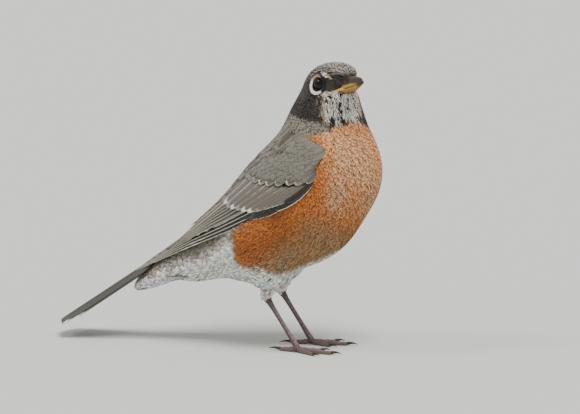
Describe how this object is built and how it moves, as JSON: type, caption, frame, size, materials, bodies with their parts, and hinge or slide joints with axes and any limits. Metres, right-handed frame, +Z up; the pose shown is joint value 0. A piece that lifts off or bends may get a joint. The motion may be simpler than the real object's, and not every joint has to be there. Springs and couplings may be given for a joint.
{
  "type": "american robin",
  "caption": "Life-size standing american robin, a museum-style still model of a songbird on both feet with its head turned, folded wings and long tail.",
  "frame": {"origin": "on the floor, under the middle of the bounding box", "axes": "+X forward, the way the breast faces; +Y to the bird's left; +Z up from the soles"},
  "size_m": [0.194, 0.0684, 0.1702],
  "materials": {
    "grey_feathers": "soft matte feathers",
    "orange_feathers": "soft matte feathers with pale fringes",
    "head_feathers": "short dark feathers",
    "flight_feathers": "smooth vanes with pale edges",
    "vent_feathers": "loose white and grey down",
    "bill_horn": "satin yellow horn, dark along the ridge",
    "leg_skin": "satin scaly skin",
    "claw_horn": "satin dark horn",
    "eye": "wet gloss"
  },
  "bodies": {
    "root": {"head": "head_feathers", "neck": "grey_feathers", "trunk": "orange_feathers", "tail_coverts": "vent_feathers", "eye_right": "eye", "eye_left": "eye", "bill_upper": "bill_horn", "bill_lower": "bill_horn", "wing_right_coverts": "grey_feathers", "wing_right_secondaries": "flight_feathers", "wing_right_primaries": "flight_feathers", "wing_left_coverts": "grey_feathers", "wing_left_secondaries": "flight_feathers", "wing_left_primaries": "flight_feathers", "tail_centre": "flight_feathers", "tail_left": "flight_feathers", "tail_right": "flight_feathers", "leg_right_thigh": "vent_feathers", "leg_right_tarsus": "leg_skin", "foot_right": "leg_skin", "claw_right_inner": "claw_horn", "claw_right_middle": "claw_horn", "claw_right_outer": "claw_horn", "claw_right_hallux": "claw_horn", "leg_left_thigh": "vent_feathers", "leg_left_tarsus": "leg_skin", "foot_left": "leg_skin", "claw_left_inner": "claw_horn", "claw_left_middle": "claw_horn", "claw_left_outer": "claw_horn", "claw_left_hallux": "claw_horn"}
  },
  "joints": []
}
